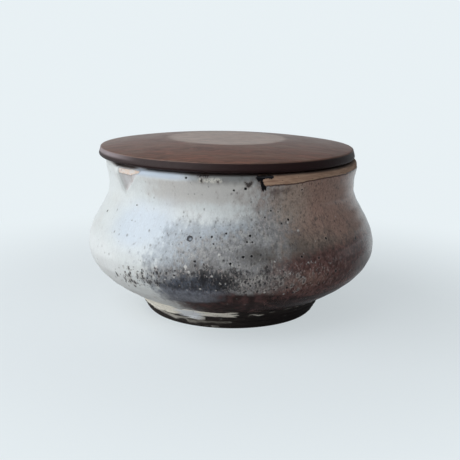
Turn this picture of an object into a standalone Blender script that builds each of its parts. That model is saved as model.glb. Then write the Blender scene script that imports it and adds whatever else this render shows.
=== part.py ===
"""Lidded stoneware pot with a pouring lip, and its turned walnut lid.

Metres, +Z up. The origin is the centre of the foot ring where it stands on the table, and the lip points along
-X. The pot is made as a potter makes it: the wall is turned as one profile, and the lip is then pulled out of
the soft rim. The lid is a turned disc whose spigot drops into the mouth.
"""

from math import atan2, cos, hypot, pi, radians, sin

import bpy
from mathutils import Vector
from mathutils.geometry import interpolate_bezier

# Pot: the outside, from the table up
foot_ring_radius = 0.0366
foot_ring_width = 0.0050
foot_ring_edge = 0.0006
foot_recess = 0.0030
ledge_radius = 0.0398
ledge_height = 0.0059
groove_depth = 0.0005
glaze_edge_radius = 0.0430
glaze_edge_height = 0.0090
belly_radius = 0.0613
belly_height = 0.0293
waist_radius = 0.0522
waist_below_rim = 0.0121
rim_radius = 0.0534
pot_height = 0.0660

# Pot: the clay between outside and inside
wall = 0.0042
base_wall = 0.0060
floor_thickness = 0.0060

# Pouring lip, pulled outwards from the rim
lip_reach = 0.0024
lip_half_width = 0.0114
lip_drop = 0.0118
lip_azimuth = pi

# Lid
lid_overhang = 0.0010
lid_edge = 0.0037
lid_edge_round = 0.0007
lid_rise = 0.0035
lid_swell = 0.00035
lid_flat_radius = 0.0243
spigot_depth = 0.0055
spigot_clearance = 0.0028
spigot_edge_round = 0.0008
seat_gap = 0.0003
lid_drift_share = 0.77
lid_drift_azimuth = radians(145)

# Slope of the underside where the glaze ends, and how far each arc of the outline leans on its two ends,
# as shares of the arc's height
glaze_edge_slope = radians(33)
neck_shares = (0.32, 0.68)
shoulder_shares = (0.28, 0.42)
underside_shares = (0.56, 0.18)
floor_shares = (0.40, 0.22)

# Faces: steps around, and points along each stretch of a profile
AROUND = 84
FLOOR_POINTS = 4
UNDERSIDE_POINTS = 7
SHOULDER_POINTS = 7
NECK_POINTS = 3
RIM_POINTS = 6
SLOPE_POINTS = 4
EDGE_POINTS = 3
GROOVES = 2
SHARP_EDGE = radians(40)
MERGE = 0.00001


def clear_scene():
    """Removes whatever objects the scene opened with."""
    for obj in list(bpy.data.objects):
        bpy.data.objects.remove(obj, do_unlink=True)


def make_material(name, colour, roughness, metallic=0.0):
    """A plain Principled material."""
    material = bpy.data.materials.new(name)
    material.use_nodes = True
    shader = material.node_tree.nodes["Principled BSDF"]
    shader.inputs["Base Color"].default_value = (*colour, 1.0)
    shader.inputs["Roughness"].default_value = roughness
    shader.inputs["Metallic"].default_value = metallic
    return material


def bezier(start, leave, arrive, end, count):
    """The points after start on one Bezier arc of count steps, as (radius, height)."""
    knots = [Vector((*point, 0.0)) for point in (start, leave, arrive, end)]
    return [(p.x, p.y) for p in interpolate_bezier(*knots, count + 1)[1:]]


def quarter(centre, size, first, last, count):
    """Points on a round edge from angle first to angle last, both included."""
    turn = [first + (last - first) * i / count for i in range(count + 1)]
    return [(centre[0] + size * cos(a), centre[1] + size * sin(a)) for a in turn]


def outer_wall():
    """The thrown outside, from the rim's outer side down to where the glaze ends."""
    rim = (rim_radius, pot_height - wall / 2)
    waist = (waist_radius, pot_height - waist_below_rim)
    belly = (belly_radius, belly_height)
    edge = (glaze_edge_radius, glaze_edge_height)

    neck = rim[1] - waist[1]
    shoulder = waist[1] - belly[1]
    underside = belly[1] - edge[1]
    rise = underside * underside_shares[1]

    points = [rim]
    points += bezier(
        rim,
        (rim[0], rim[1] - neck * neck_shares[0]),
        (waist[0], waist[1] + neck * neck_shares[1]),
        waist,
        NECK_POINTS,
    )
    points += bezier(
        waist,
        (waist[0], waist[1] - shoulder * shoulder_shares[0]),
        (belly[0], belly[1] + shoulder * shoulder_shares[1]),
        belly,
        SHOULDER_POINTS,
    )
    points += bezier(
        belly,
        (belly[0], belly[1] - underside * underside_shares[0]),
        (edge[0] + rise * cos(glaze_edge_slope), edge[1] + rise * sin(glaze_edge_slope)),
        edge,
        UNDERSIDE_POINTS,
    )
    return points


def inner_wall(outside):
    """The outside moved inwards by the clay's thickness, which grows below the belly."""
    inside = []
    for i, (radius, height) in enumerate(outside):
        above = outside[max(i - 1, 0)]
        below = outside[min(i + 1, len(outside) - 1)]
        run = Vector((below[0] - above[0], below[1] - above[1]))
        if i == 0:
            run = Vector((0.0, -1.0))
        run.normalize()
        low = max(0.0, (belly_height - height) / (belly_height - glaze_edge_height))
        clay = wall + (base_wall - wall) * low**2
        inside.append((radius + run.y * clay, height - run.x * clay))
    return inside


def foot():
    """The trimmed, unglazed foot: ledge, tooled grooves, ring and recess, ending on the axis."""
    ledge = Vector((ledge_radius, ledge_height))
    bottom = Vector((foot_ring_radius, foot_ring_edge))
    side = (bottom - ledge).normalized()
    inwards = Vector((side.y, -side.x))

    points = [tuple(ledge)]
    for i in range(GROOVES):
        groove = ledge.lerp(bottom, (i + 0.5) / (GROOVES + 0.5)) + inwards * groove_depth
        bead = ledge.lerp(bottom, (i + 1.0) / (GROOVES + 0.5))
        points += [tuple(groove), tuple(bead)]
    inner = foot_ring_radius - foot_ring_width
    points += [
        tuple(bottom),
        (foot_ring_radius - foot_ring_edge, 0.0),
        (inner + foot_ring_edge, 0.0),
        (inner, foot_ring_edge),
        (inner - foot_ring_edge, foot_recess),
        (0.0, foot_recess),
    ]
    return points


def pot_profile():
    """The whole section of the pot, from the middle of the floor over the rim to the middle of the foot."""
    outside = outer_wall()
    inside = inner_wall(outside)[::-1]
    base = inside[0]
    floor = foot_recess + floor_thickness
    reach = base[0] * floor_shares[1]
    points = [(0.0, floor)]
    points += bezier(
        (0.0, floor),
        (base[0] * floor_shares[0], floor),
        (base[0] - reach * cos(glaze_edge_slope), base[1] - reach * sin(glaze_edge_slope)),
        base,
        FLOOR_POINTS,
    )
    points += inside[1:]
    roll = wall / 2
    points += quarter((rim_radius - roll, pot_height - roll), roll, pi, 0.0, RIM_POINTS)[1:-1]
    points += outside
    points += foot()
    return points


def lid_slope(end):
    """The points from the flat's edge out to end, on an arc that swells above the straight line between them."""
    start = (lid_flat_radius, lid_edge + lid_rise)
    third = ((end[0] - start[0]) / 3, (end[1] - start[1]) / 3)
    proud = lid_swell * 4 / 3
    leave = (start[0] + third[0], start[1] + third[1] + proud)
    arrive = (end[0] - third[0], end[1] - third[1] + proud)
    return bezier(start, leave, arrive, end, SLOPE_POINTS)


def lid_profile():
    """The section of the lid from the middle of its top to the middle of its spigot, from its underside up."""
    top = lid_edge + lid_rise
    mouth = min(rim_radius, waist_radius) - wall
    spigot_radius = mouth - spigot_clearance
    rim = rim_radius + lid_overhang - lid_edge_round
    plug = spigot_radius - spigot_edge_round
    points = [(0.0, top), (lid_flat_radius, top)]
    points += lid_slope((rim, lid_edge))[:-1]
    points += quarter((rim, lid_edge - lid_edge_round), lid_edge_round, pi / 2, 0.0, EDGE_POINTS)
    points += quarter((rim, lid_edge_round), lid_edge_round, 0.0, -pi / 2, EDGE_POINTS)
    points += [(spigot_radius, 0.0)]
    points += quarter(
        (plug, spigot_edge_round - spigot_depth), spigot_edge_round, 0.0, -pi / 2, EDGE_POINTS
    )
    points += [(0.0, -spigot_depth)]
    return points


def turned(name, profile, material, collection):
    """A piece turned about its own Z axis from a profile that runs down its outer side."""
    mesh = bpy.data.meshes.new(name)
    corners = [(radius, 0.0, height) for radius, height in profile]
    mesh.from_pydata(corners, [(i, i + 1) for i in range(len(corners) - 1)], [])
    piece = bpy.data.objects.new(name, mesh)
    collection.objects.link(piece)

    turn = piece.modifiers.new("Turn", "SCREW")
    turn.axis = "Z"
    turn.steps = AROUND
    turn.render_steps = AROUND
    turn.use_merge_vertices = True
    turn.merge_threshold = MERGE

    bpy.context.view_layer.update()
    evaluated = piece.evaluated_get(bpy.context.evaluated_depsgraph_get())
    piece.data = bpy.data.meshes.new_from_object(evaluated)
    piece.modifiers.clear()
    bpy.data.meshes.remove(mesh)
    piece.data.name = name
    piece.data.materials.append(material)
    return piece


def lip_pull(azimuth, height):
    """How far the lip moves the clay outwards there: a sharp crest that fades to a point down the neck."""
    up = (height - (pot_height - lip_drop)) / lip_drop
    if up <= 0.0:
        return 0.0
    aside = abs(atan2(sin(azimuth - lip_azimuth), cos(azimuth - lip_azimuth)))
    across = aside * rim_radius / (lip_half_width * min(up, 1.0))
    if across >= 1.0:
        return 0.0
    crest = lip_reach * (1.0 - max(0.0, 1.0 - up) ** 3)
    return crest * (1.0 - across) ** 1.5


def pull_lip(pot):
    """Pulls the rim out into a pouring lip, inside and outside alike, so that the wall keeps its thickness."""
    for vertex in pot.data.vertices:
        x, y, z = vertex.co
        radius = hypot(x, y)
        if radius > 0.0:
            pulled = 1.0 + lip_pull(atan2(y, x), z) / radius
            vertex.co = (x * pulled, y * pulled, z)


def shade(piece):
    """Smooth shading, with the tooled edges left sharp."""
    piece.data.shade_smooth()
    piece.data.set_sharp_from_angle(angle=SHARP_EDGE)


def build_pot(collection):
    glaze = make_material("ash_glazed_stoneware", (0.47, 0.46, 0.44), 0.38)
    pot = turned("pot_body", pot_profile(), glaze, collection)
    pull_lip(pot)
    shade(pot)


def build_lid(collection):
    walnut = make_material("dark_walnut", (0.10, 0.055, 0.040), 0.50)
    lid = turned("wooden_lid", lid_profile(), walnut, collection)
    drift = spigot_clearance * lid_drift_share
    lid.location = (
        drift * cos(lid_drift_azimuth),
        drift * sin(lid_drift_azimuth),
        pot_height + seat_gap,
    )
    shade(lid)


clear_scene()
lidded_pot = bpy.data.collections.new("lidded_pot")
bpy.context.scene.collection.children.link(lidded_pot)
build_pot(lidded_pot)
build_lid(lidded_pot)
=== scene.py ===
"""A small stoneware pot with a pulled pouring lip and a turned walnut lid.

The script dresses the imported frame. It goes through the object as it is put together: the view and the light,
the thrown pot, the glaze and the bare clay on it, and the lid. Lengths are in metres, angles in radians.
"""

from math import cos, pi, radians, sin

import bpy
import numpy as np
from mathutils import Matrix, Vector, noise


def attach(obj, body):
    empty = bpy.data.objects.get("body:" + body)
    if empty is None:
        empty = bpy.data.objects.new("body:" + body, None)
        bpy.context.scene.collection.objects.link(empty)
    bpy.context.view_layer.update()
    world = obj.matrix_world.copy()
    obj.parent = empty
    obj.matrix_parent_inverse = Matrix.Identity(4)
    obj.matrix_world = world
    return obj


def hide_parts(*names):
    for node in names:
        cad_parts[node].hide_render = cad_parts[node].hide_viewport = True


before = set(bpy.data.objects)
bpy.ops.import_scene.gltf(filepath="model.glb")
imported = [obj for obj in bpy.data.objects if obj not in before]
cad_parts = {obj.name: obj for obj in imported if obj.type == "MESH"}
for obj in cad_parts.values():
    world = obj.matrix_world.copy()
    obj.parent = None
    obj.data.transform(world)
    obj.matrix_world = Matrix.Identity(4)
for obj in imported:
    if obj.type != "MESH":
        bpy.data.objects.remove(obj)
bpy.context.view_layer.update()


# The view
# The pot is seen from close by and from a little above its rim, with the pouring lip to the left.
# The picture is square, and a place in it is given across and down from its upper left corner.
picture_side = 460.0
sensor_width = 36.0
focal_length = 67.9
view_distance = 0.380
view_turn = radians(-35.0)
view_drop = radians(12.57)
view_roll = radians(-0.72)
view_aim = Vector((-0.00038, 0.00026, 0.0330))

level_right = Vector((cos(view_turn), sin(view_turn), 0.0))
level_back = Vector((sin(view_turn), -cos(view_turn), 0.0))
towards_view = level_back * cos(view_drop) + Vector((0.0, 0.0, sin(view_drop)))
level_up = towards_view.cross(level_right)
picture_right = level_right * cos(view_roll) - level_up * sin(view_roll)
picture_up = level_right * sin(view_roll) + level_up * cos(view_roll)
view_place = view_aim + towards_view * view_distance

camera_data = bpy.data.cameras.new("view")
camera_data.sensor_width = sensor_width
camera_data.lens = focal_length
camera = bpy.data.objects.new("view", camera_data)
bpy.context.scene.collection.objects.link(camera)
view_axes = Matrix((picture_right, picture_up, towards_view)).transposed()
camera.matrix_world = Matrix.Translation(view_place) @ view_axes.to_4x4()
bpy.context.scene.camera = camera
bpy.context.scene.view_settings.view_transform = "Standard"


def sight(place):
    """The direction in which the view sees a place in the picture."""
    across = place[0] - picture_side / 2
    down = place[1] - picture_side / 2
    reach = focal_length / sensor_width * picture_side
    return (picture_right * across - picture_up * down - towards_view * reach).normalized()


# The room
# A pale table under a pale wall, without a visible join. One large soft window lights the pot from the
# left, and the room on the near side is dim.
window_light = (0.97, 0.985, 1.0)
window_power = 4.5
window_size = (0.84, 0.84)
window_distance = 0.62
window_side = radians(-62.0)
window_height = radians(34.0)
ceiling_light = (0.84, 0.90, 1.0)
ceiling_power = 0.9
ceiling_size = (0.80, 0.80)
ceiling_distance = 0.9
ceiling_side = radians(25.0)
ceiling_height = radians(60.0)
wall_colour = (0.810, 0.876, 0.906)
dim_room = (0.060, 0.060, 0.064)
soft_fill = 0.20
wall_top_fade = (0.18, 0.38)
wall_top_dimming = 0.94
right_end_fade = (0.00, 0.40)
right_end_rise = (0.02, 0.16)
right_end_dimming = 0.88
left_end_fade = (-0.10, -0.60)
left_end_dimming = 0.40
near_side_fade = (-0.25, 0.35)
table_size = 6.0
table_colour = (0.74, 0.77, 0.79)
table_speck = (0.55, 0.57, 0.60)
table_speck_share = 0.04
table_speck_scale = 900.0
table_bounce = (0.78, 0.75, 0.73)
table_shadow = 0.36
shadow_ends = 0.22
shadow_core_share = 0.35
near_table_fade = (-0.10, 0.04)
slanted_table_fade = (0.04, 0.13)
slanted_table_share = 0.85
table_slant = 1.10


def towards(side, height):
    """The direction that lies that far to the right of the view's line, and that far above the table."""
    level = level_back * cos(side) + level_right * sin(side)
    return level * cos(height) + Vector((0.0, 0.0, sin(height)))


def hang_light(name, size, power, colour, direction, distance):
    """One soft rectangular light that faces the pot."""
    data = bpy.data.lights.new(name, "AREA")
    data.shape = "RECTANGLE"
    data.size, data.size_y = size
    data.energy = power
    data.color = colour
    light = bpy.data.objects.new(name, data)
    bpy.context.scene.collection.objects.link(light)
    light.location = view_aim + direction * distance
    light.rotation_mode = "QUATERNION"
    light.rotation_quaternion = direction.to_track_quat("Z", "Y")
    light.visible_camera = False


window_way = towards(window_side, window_height)
hang_light("window", window_size, window_power, window_light, window_way, window_distance)
ceiling_way = towards(ceiling_side, ceiling_height)
hang_light("ceiling", ceiling_size, ceiling_power, ceiling_light, ceiling_way, ceiling_distance)


class Value:
    """What one node gives on to the next. A sum written with it becomes Math nodes in the same tree."""

    def __init__(self, node, name=0):
        self.socket = node.outputs[name]
        self.tree = node.id_data

    def __add__(self, other):
        return calc("ADD", self, other)

    def __sub__(self, other):
        return calc("SUBTRACT", self, other)

    def __rsub__(self, other):
        return calc("SUBTRACT", other, self)

    def __mul__(self, other):
        return calc("MULTIPLY", self, other)

    __radd__ = __add__
    __rmul__ = __mul__


def put(kind, inputs, tree=None, **settings):
    """Adds a node, fed by plain values and by what other nodes of its tree give."""
    if tree is None:
        tree = next(value.tree for value in inputs.values() if isinstance(value, Value))
    node = tree.nodes.new(kind)
    for name, value in settings.items():
        setattr(node, name, value)
    for name, value in inputs.items():
        if isinstance(value, Value):
            tree.links.new(value.socket, node.inputs[name])
        else:
            node.inputs[name].default_value = value
    return node


def calc(operation, *values, clamp=False):
    """The result of a Math node."""
    return Value(put("ShaderNodeMath", dict(enumerate(values)), operation=operation, use_clamp=clamp))


def measure(operation, *places):
    """The number that a Vector Math node makes of places and directions."""
    return Value(put("ShaderNodeVectorMath", dict(enumerate(places)), operation=operation), "Value")


def fade(value, start, end):
    """Rises smoothly from 0 where the value is at start to 1 where it is at end."""
    steps = {"Value": value, "From Min": start, "From Max": end}
    return Value(put("ShaderNodeMapRange", steps, interpolation_type="SMOOTHSTEP"))


def noise_at(place, scale, detail=2.0, roughness=0.5):
    """Cloudy noise from 0 to 1."""
    settings = {"Vector": place, "Scale": scale, "Detail": detail, "Roughness": roughness}
    return Value(put("ShaderNodeTexNoise", settings), "Fac")


def tint(share, under, over, kind="MIX"):
    """Lays one colour over another by a share."""
    under, over = (paint if isinstance(paint, Value) else (*paint, 1.0) for paint in (under, over))
    return Value(put("ShaderNodeMix", {0: share, 6: under, 7: over}, data_type="RGBA", blend_type=kind), 2)


def mix_shaders(share, first, second):
    """Gives the first shader's place to the second by a share."""
    return Value(put("ShaderNodeMixShader", {0: share, 1: first, 2: second}))


def new_material(name):
    """An empty node material and its tree."""
    material = bpy.data.materials.new(name)
    material.use_nodes = True
    material.node_tree.nodes.clear()
    return material, material.node_tree


world = bpy.data.worlds.new("pale_room")
bpy.context.scene.world = world
world.use_nodes = True
sky = world.node_tree
sky.nodes.clear()
facing = Value(put("ShaderNodeTexCoord", {}, sky), "Generated")
upward = measure("DOT_PRODUCT", facing, (0.0, 0.0, 1.0))
to_right = measure("DOT_PRODUCT", facing, level_right)
right_end = fade(to_right, *right_end_fade) * fade(upward, *right_end_rise)
pale_wall = 1.0 - wall_top_dimming * fade(upward, *wall_top_fade)
pale_wall = pale_wall * (1.0 - right_end_dimming * right_end)
pale_wall = pale_wall * (1.0 - left_end_dimming * fade(to_right, *left_end_fade))
pale_wall = pale_wall * fade(measure("DOT_PRODUCT", facing, -level_back), *near_side_fade)
rays = put("ShaderNodeLightPath", {}, sky)
fill = Value(put("ShaderNodeBackground", {"Color": (*wall_colour, 1.0), "Strength": soft_fill}, sky))
seen = Value(put("ShaderNodeBackground", {"Color": (*wall_colour, 1.0), "Strength": 1.0}, sky))
mirrored = Value(put("ShaderNodeBackground", {"Color": tint(pale_wall, dim_room, wall_colour)}))
shine = mix_shaders(Value(rays, "Is Glossy Ray"), fill, mirrored)
put("ShaderNodeOutputWorld", {"Surface": mix_shaders(Value(rays, "Is Camera Ray"), shine, seen)})

table_mesh = bpy.data.meshes.new("table")
half = table_size / 2
table_corners = [(-half, -half, 0.0), (half, -half, 0.0), (half, half, 0.0), (-half, half, 0.0)]
table_mesh.from_pydata(table_corners, [], [(0, 1, 2, 3)])
table = bpy.data.objects.new("table", table_mesh)
bpy.context.scene.collection.objects.link(table)

table_paint, tree = new_material("pale_table")
table_mesh.materials.append(table_paint)
where = Value(put("ShaderNodeTexCoord", {}, tree), "Object")
rays = put("ShaderNodeLightPath", {}, tree)
beyond_shadow = fade(measure("LENGTH", where), shadow_ends * shadow_core_share, shadow_ends)
steady = Value(rays, "Is Camera Ray") * (beyond_shadow * table_shadow + (1.0 - table_shadow))
paint = tint(noise_at(where, table_speck_scale) * table_speck_share, table_colour, table_speck)
paint = tint(Value(rays, "Is Diffuse Ray"), paint, table_bounce)
matt = Value(put("ShaderNodeBsdfDiffuse", {"Color": paint}))
glow = Value(put("ShaderNodeEmission", {"Color": (*wall_colour, 1.0), "Strength": 1.0}, tree))
seen = mix_shaders(steady, matt, glow)
ahead = measure("DOT_PRODUCT", where, level_back)
askew = ahead * table_slant + measure("DOT_PRODUCT", where, level_right)
slanted_dark = fade(askew, *slanted_table_fade) * slanted_table_share
dimmed = calc("MAXIMUM", fade(ahead, *near_table_fade), slanted_dark)
mirrored = Value(put("ShaderNodeEmission", {"Color": tint(dimmed, wall_colour, dim_room), "Strength": 1.0}))
put("ShaderNodeOutputMaterial", {"Surface": mix_shaders(Value(rays, "Is Glossy Ray"), seen, mirrored)})


# The pot
# One stoneware vessel, thrown on the wheel as a single wall. The rim was rolled, the lip was pulled from it
# while the clay was soft, and the foot was trimmed with a tool when it was leather hard.
foot_ring_radius = 0.0366
foot_ring_width = 0.0050
foot_ring_edge = 0.0006
foot_recess = 0.0030
ledge_radius = 0.0398
ledge_height = 0.0059
groove_depth = 0.0005
groove_count = 2
glaze_edge_radius = 0.0430
glaze_edge_height = 0.0090
glaze_edge_slope = radians(33)
belly_radius = 0.0613
belly_height = 0.0293
waist_radius = 0.0522
waist_below_rim = 0.0121
rim_radius = 0.0534
pot_height = 0.0660
wall = 0.0042
base_wall = 0.0060
floor_thickness = 0.0060
neck_shares = (0.32, 0.68)
shoulder_shares = (0.28, 0.42)
underside_shares = (0.56, 0.18)
floor_shares = (0.40, 0.22)
lip_reach = 0.0024
lip_half_width = 0.0114
lip_drop = 0.0118
lip_azimuth = pi
band_zone_height = 0.0520
hem_zone_height = 0.0125
pot_columns = 440
fine_step = 0.00005


def bend(start, leave, arrive, end, steps=80):
    """One Bezier arc of the section, as rows of radius and height."""
    t = np.linspace(0.0, 1.0, steps + 1)[:, None]
    shares = ((1 - t) ** 3, 3 * (1 - t) ** 2 * t, 3 * (1 - t) * t**2, t**3)
    return sum(share * np.array(knot) for share, knot in zip(shares, (start, leave, arrive, end)))


def round_edge(centre, size, first, last, steps=24):
    """A round edge of the section, from angle first to angle last."""
    turn = np.linspace(first, last, steps + 1)
    return np.stack([centre[0] + size * np.cos(turn), centre[1] + size * np.sin(turn)], axis=1)


rim_side = (rim_radius, pot_height - wall / 2)
waist = (waist_radius, pot_height - waist_below_rim)
belly = (belly_radius, belly_height)
glaze_edge = (glaze_edge_radius, glaze_edge_height)
neck = rim_side[1] - waist[1]
shoulder = waist[1] - belly[1]
underside = belly[1] - glaze_edge[1]
low_reach = underside * underside_shares[1]
rim_leaves = (rim_side[0], rim_side[1] - neck * neck_shares[0])
waist_from_rim = (waist[0], waist[1] + neck * neck_shares[1])
waist_leaves = (waist[0], waist[1] - shoulder * shoulder_shares[0])
belly_from_waist = (belly[0], belly[1] + shoulder * shoulder_shares[1])
belly_leaves = (belly[0], belly[1] - underside * underside_shares[0])
edge_rise = np.array([cos(glaze_edge_slope), sin(glaze_edge_slope)])
edge_from_belly = glaze_edge + low_reach * edge_rise
upper = bend(rim_side, rim_leaves, waist_from_rim, waist)
middle = bend(waist, waist_leaves, belly_from_waist, belly)
lower = bend(belly, belly_leaves, edge_from_belly, glaze_edge)
outside = np.vstack([upper, middle[1:], lower[1:]])

run = np.gradient(outside, axis=0)
run[0] = (0.0, -1.0)
run /= np.linalg.norm(run, axis=1)[:, None]
low = np.clip((belly_height - outside[:, 1]) / (belly_height - glaze_edge_height), 0.0, None)
clay = wall + (base_wall - wall) * low**2
inside = (outside + np.stack([run[:, 1], -run[:, 0]], axis=1) * clay[:, None])[::-1]

floor_height = foot_recess + floor_thickness
floor_reach = inside[0, 0] * floor_shares[1]
floor = bend(
    (0.0, floor_height),
    (inside[0, 0] * floor_shares[0], floor_height),
    inside[0] - floor_reach * edge_rise,
    inside[0],
)
rolled_rim = round_edge((rim_radius - wall / 2, pot_height - wall / 2), wall / 2, pi, 0.0)

ledge = np.array([ledge_radius, ledge_height])
ring = np.array([foot_ring_radius, foot_ring_edge])
cut = (ring - ledge) / np.linalg.norm(ring - ledge)
inwards = np.array([cut[1], -cut[0]])
trimmed = [glaze_edge, ledge]
for groove in range(groove_count):
    hollow = ledge + (ring - ledge) * (groove + 0.5) / (groove_count + 0.5)
    bead = ledge + (ring - ledge) * (groove + 1.0) / (groove_count + 0.5)
    trimmed += [hollow + inwards * groove_depth, bead]
trimmed.append(ring)
ring_inside = foot_ring_radius - foot_ring_width
ring_bottom = [
    ring,
    (foot_ring_radius - foot_ring_edge, 0.0),
    (ring_inside + foot_ring_edge, 0.0),
    (ring_inside, foot_ring_edge),
    (ring_inside - foot_ring_edge, foot_recess),
]
recess = [ring_bottom[-1], (0.0, foot_recess)]

# Each stretch of the section with the distance between its rows of points
is_band = outside[:, 1] > band_zone_height
is_hem = outside[:, 1] < hem_zone_height
stretches = (
    (floor, 0.0024),
    (inside, 0.0018),
    (rolled_rim, 0.0005),
    (outside[is_band], 0.0006),
    (outside[~is_band & ~is_hem], 0.00085),
    (outside[is_hem], 0.00050),
    (np.array(trimmed), 0.00036),
    (np.array(ring_bottom), 0.0006),
    (np.array(recess), 0.0045),
)


def space_rows(stretches):
    """Points along a section, each stretch at its own distance, as radius and height."""
    line = []
    gaps = []
    for points, gap in stretches:
        points = np.asarray(points, dtype=float)
        reach = np.concatenate([[0.0], np.cumsum(np.linalg.norm(np.diff(points, axis=0), axis=1))])
        fine = np.linspace(0.0, reach[-1], max(3, int(reach[-1] / fine_step)))
        line.append(np.stack([np.interp(fine, reach, column) for column in points.T], axis=1))
        gaps.append(np.full(len(fine), gap))
    line = np.vstack(line)
    gaps = np.concatenate(gaps)
    step = np.linalg.norm(np.diff(line, axis=0), axis=1)
    count = np.concatenate([[0.0], np.cumsum(step / ((gaps[1:] + gaps[:-1]) / 2))])
    want = np.linspace(0.0, count[-1], int(round(count[-1])) + 1)
    return np.stack([np.interp(want, count, column) for column in line.T], axis=1)


rows = space_rows(stretches)
row_radius, row_height = rows.T
row_run = np.gradient(rows, axis=0)
row_run /= np.linalg.norm(row_run, axis=1)[:, None]
row_out = np.stack([-row_run[:, 1], row_run[:, 0]], axis=1)
crest = int(np.argmax(row_height))
row_along = np.concatenate([[0.0], np.cumsum(np.linalg.norm(np.diff(rows, axis=0), axis=1))])
row_along -= row_along[crest]


def row_nearest(point):
    """The row on the outside that lies nearest to a point of the section."""
    gaps = np.hypot(row_radius[crest:] - point[0], row_height[crest:] - point[1])
    return crest + int(np.argmin(gaps))


foot_starts = row_nearest(glaze_edge)
ledge_row = row_nearest(ledge)
ring_row = row_nearest(ring)

front_azimuth = view_turn - pi / 2
turn = front_azimuth + pi + np.arange(pot_columns) * 2 * pi / pot_columns
azimuth = turn[None, :]
along = row_along[:, None]
radius = row_radius[:, None]
height = row_height[:, None]
depth = along * 1000.0
on_outside = (np.arange(len(rows)) >= crest)[:, None] & np.ones_like(azimuth, dtype=bool)


def wrapped(angle):
    """The same angle between minus pi and pi."""
    return np.arctan2(np.sin(angle), np.cos(angle))


side = np.degrees(wrapped(azimuth - front_azimuth))


def pulled(azimuth, height):
    """How far the lip moves the clay outwards: a sharp crest that fades to a point down the neck."""
    up = np.clip((height - (pot_height - lip_drop)) / lip_drop, 0.0, 1.0)
    aside = np.abs(wrapped(azimuth - lip_azimuth))
    across = aside * rim_radius / (lip_half_width * np.maximum(up, 0.0001))
    return lip_reach * (1.0 - (1.0 - up) ** 3) * np.clip(1.0 - across, 0.0, 1.0) ** 1.5


walk_reach = (0.28, 0.42)
walk_steps = 7000


def on_pot(place):
    """Where a place in the picture lies on the outside: degrees right of the view's line, metres from the
    rim's crest down along the wall, and the point itself."""
    steps = np.linspace(*walk_reach, walk_steps)[:, None]
    walk = np.array(view_place)[None, :] + steps * np.array(sight(place))[None, :]
    wall_rows = slice(crest, ring_row + 1)
    bearing = np.arctan2(walk[:, 1], walk[:, 0])
    wide = np.interp(-walk[:, 2], -row_height[wall_rows], row_radius[wall_rows]) + pulled(bearing, walk[:, 2])
    within = (np.hypot(walk[:, 0], walk[:, 1]) < wide) & (walk[:, 2] < pot_height)
    first = int(np.argmax(within))
    down_wall = np.interp(-walk[first, 2], -row_height[wall_rows], row_along[wall_rows])
    return np.degrees(wrapped(bearing[first] - front_azimuth)), down_wall, walk[first]


def gate(value, start, end):
    """Rises smoothly from 0 at start to 1 at end."""
    share = np.clip((value - start) / (end - start), 0.0, 1.0)
    return share * share * (3.0 - 2.0 * share)


def strip(value, start, full, ends, gone):
    """Rises from start to full and falls from ends to gone."""
    return gate(value, start, full) * (1.0 - gate(value, ends, gone))


def wave(seed, counts, size):
    """A wavering that closes on itself round the pot."""
    phases = np.random.default_rng(seed).uniform(0.0, 2 * pi, len(counts))
    lines = [np.sin(count * azimuth + phase) / count**0.5 for count, phase in zip(counts, phases)]
    return size * sum(lines) / len(lines) ** 0.5


halving = 0.693


def patch(place, across, down):
    """A soft round patch about a place in the picture: 1 in its middle, 0.5 at its edge."""
    middle, deep, hit = on_pot(place)
    away = np.radians((side - middle + 180.0) % 360.0 - 180.0) * np.hypot(hit[0], hit[1])
    return np.exp(-halving * ((away / across) ** 2 + ((along - deep) / down) ** 2)) * on_outside


# The neck unrolled, in millimetres round from the view's line and down from the rim
neck_round = 53.5
round_mm = np.radians(side) * neck_round


def unrolled(place):
    """A place in the picture on the unrolled neck."""
    turned, deep, _ = on_pot(place)
    return np.array([radians(turned) * neck_round, deep * 1000.0])


def highest(*fields):
    """The highest of some fields at every point."""
    return np.maximum.reduce(fields)


def inside_of(middle, *corners):
    """How far inside a chain of straight edges a point of the wall lies, in millimetres."""
    middle = unrolled(middle)
    spots = [unrolled(corner) for corner in corners]
    depths = []
    for start, finish in zip(spots, spots[1:]):
        step = (finish - start) / np.hypot(*(finish - start))
        normal = np.array([step[1], -step[0]])
        normal = normal * np.sign((middle - start) @ normal)
        depths.append((round_mm - start[0]) * normal[0] + (depth - start[1]) * normal[1])
    return np.minimum.reduce(depths)


# How the thrown wall departs from a true turned surface
ring_pitch = 0.0052
outer_rings = 0.00005
inner_rings = 0.00028
out_of_round = 0.00016
out_of_round_turn = 0.6
out_of_round_zone = (0.012, 0.030)
lean_of_wall = 0.00010
outer_rings_start = (0.003, 0.010)
outer_rings_fade = 0.004
inner_rings_zone = (0.004, 0.012, 0.085, 0.100)
glaze_thickness = 0.00030
glaze_edge_fade = (-0.0001, 0.0003)
facet_hollow = 0.00030
facet_hollow_fade = (0.0, 1.2)
facet_starts = 1.0
facet_ridge = 0.00022
facet_ridge_place = (-0.5, 0.6)
facet_ridge_zone = (2.5, 4.5, 13.0, 15.0)
tool_chatter = 0.00010
chatter_pitch = 0.0011
crater_relief = 0.00012
swell_scale = 55.0
rough_scale = 520.0
far_outside = -9.0

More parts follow.
